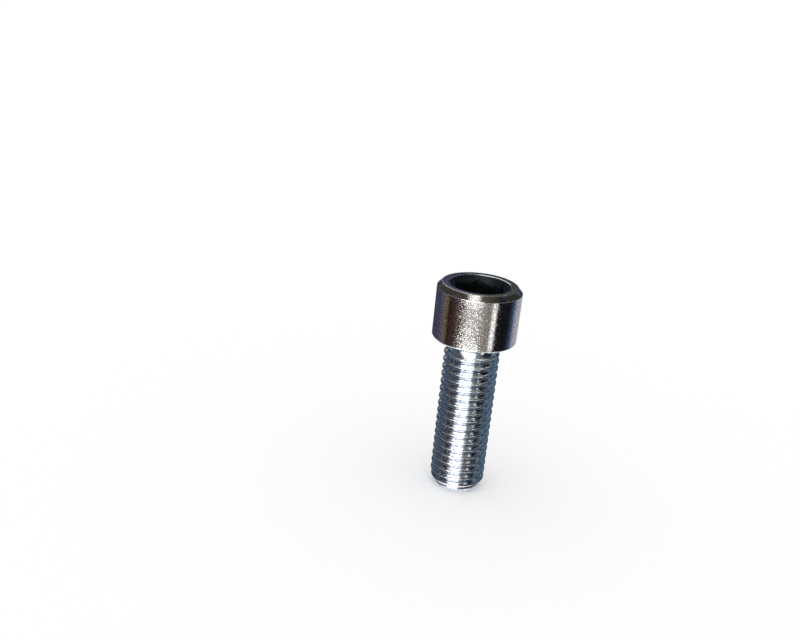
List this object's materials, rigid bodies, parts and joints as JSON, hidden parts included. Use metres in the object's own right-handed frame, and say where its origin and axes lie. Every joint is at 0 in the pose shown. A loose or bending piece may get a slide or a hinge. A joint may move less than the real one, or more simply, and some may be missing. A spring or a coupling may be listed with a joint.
{
  "type": "cylinder head bolt",
  "caption": "Bright plated bolt with a tall round head, a hexagon socket in its top and a coarse screw thread almost up to the head.",
  "frame": {"origin": "middle of the bearing face under the head, on the bolt's axis", "axes": "+Z along the axis from the threaded end towards the head, +X square to one of the socket's six flats"},
  "size_m": [0.018, 0.018, 0.047],
  "materials": {
    "plated_steel": "bright zinc plating over forged and rolled steel, faintly grained on the head"
  },
  "bodies": {
    "root": {"cap_bolt": "plated_steel"}
  },
  "joints": []
}
